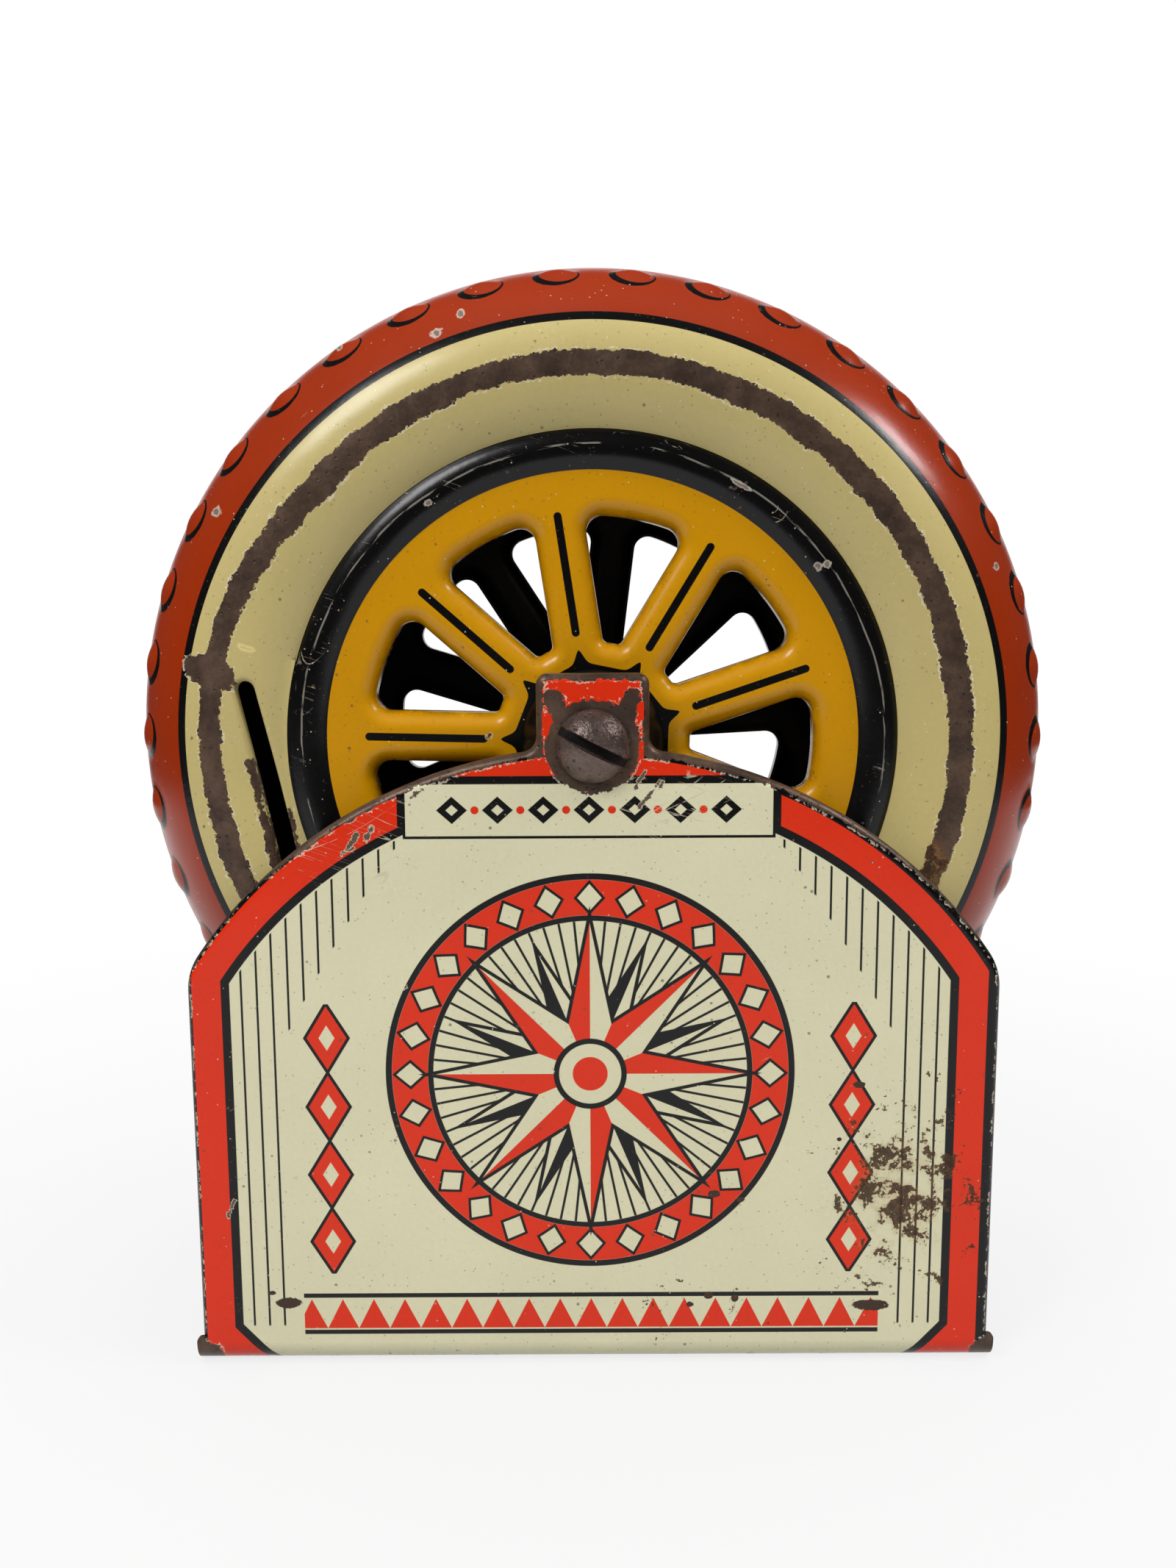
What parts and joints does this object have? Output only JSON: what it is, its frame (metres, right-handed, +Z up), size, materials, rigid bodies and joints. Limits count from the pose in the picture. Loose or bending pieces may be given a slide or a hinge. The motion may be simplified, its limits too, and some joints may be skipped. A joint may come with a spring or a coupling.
{
  "type": "coin bank",
  "caption": "Pressed tinplate coin bank: a hollow spoked motor wheel with a coin slot turns on a screw axle between the uprights of an arched stand.",
  "frame": {"origin": "middle of the stand's underside, on the surface it stands on", "axes": "+Z up, -Y towards the front with the slotted screw head and the coin slot, +X to the viewer's right"},
  "size_m": [0.12, 0.054, 0.1406],
  "materials": {
    "stand_litho": "glossy lithographed tinplate, worn",
    "wheel_litho": "glossy lithographed tinplate, worn",
    "screw_steel": "dark patinated steel",
    "plain_steel": "dull steel"
  },
  "bodies": {
    "stand": {"stand": "stand_litho", "axle_screw": "screw_steel", "axle_sleeve": "plain_steel", "axle_nut": "plain_steel"},
    "wheel": {"front_wheel_shell": "wheel_litho", "rear_wheel_shell": "wheel_litho"}
  },
  "joints": [
    {"name": "wheel_spin", "type": "hinge", "parent": "stand", "child": "wheel", "pos_m": [0, 0, 0.0806], "axis": [0, 1, 0], "continuous": true}
  ]
}
